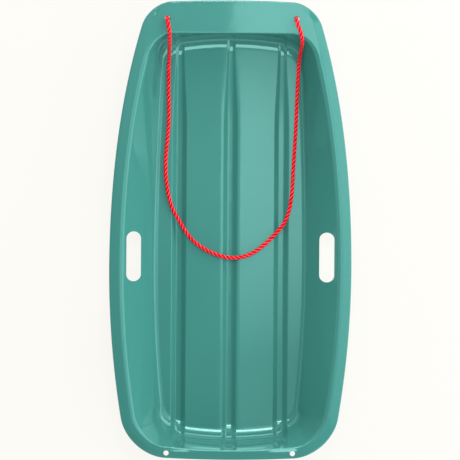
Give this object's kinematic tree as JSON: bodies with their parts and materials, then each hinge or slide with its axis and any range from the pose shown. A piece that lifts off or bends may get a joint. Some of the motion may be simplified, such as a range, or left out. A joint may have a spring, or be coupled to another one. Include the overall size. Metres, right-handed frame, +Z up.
{
  "type": "toboggan",
  "caption": "Long moulded plastic snow sled with a flanged rim, flat front deck, keels, side hand slots and a twisted tow rope tied through the deck and lying in the tub.",
  "frame": {"origin": "on the ground under the middle of the sled's outline, rope and knots left out", "axes": "+Y towards the sled's front, where the rope is tied; +Z up; +X to the rider's right"},
  "size_m": [0.6454, 1.2202, 0.1611],
  "materials": {
    "teal_plastic": "smooth glossy moulded plastic",
    "red_rope": "twisted three-strand synthetic rope"
  },
  "bodies": {
    "root": {"shell": "teal_plastic", "tow_rope": "red_rope", "left_stopper_knot": "red_rope", "right_stopper_knot": "red_rope"}
  },
  "joints": []
}
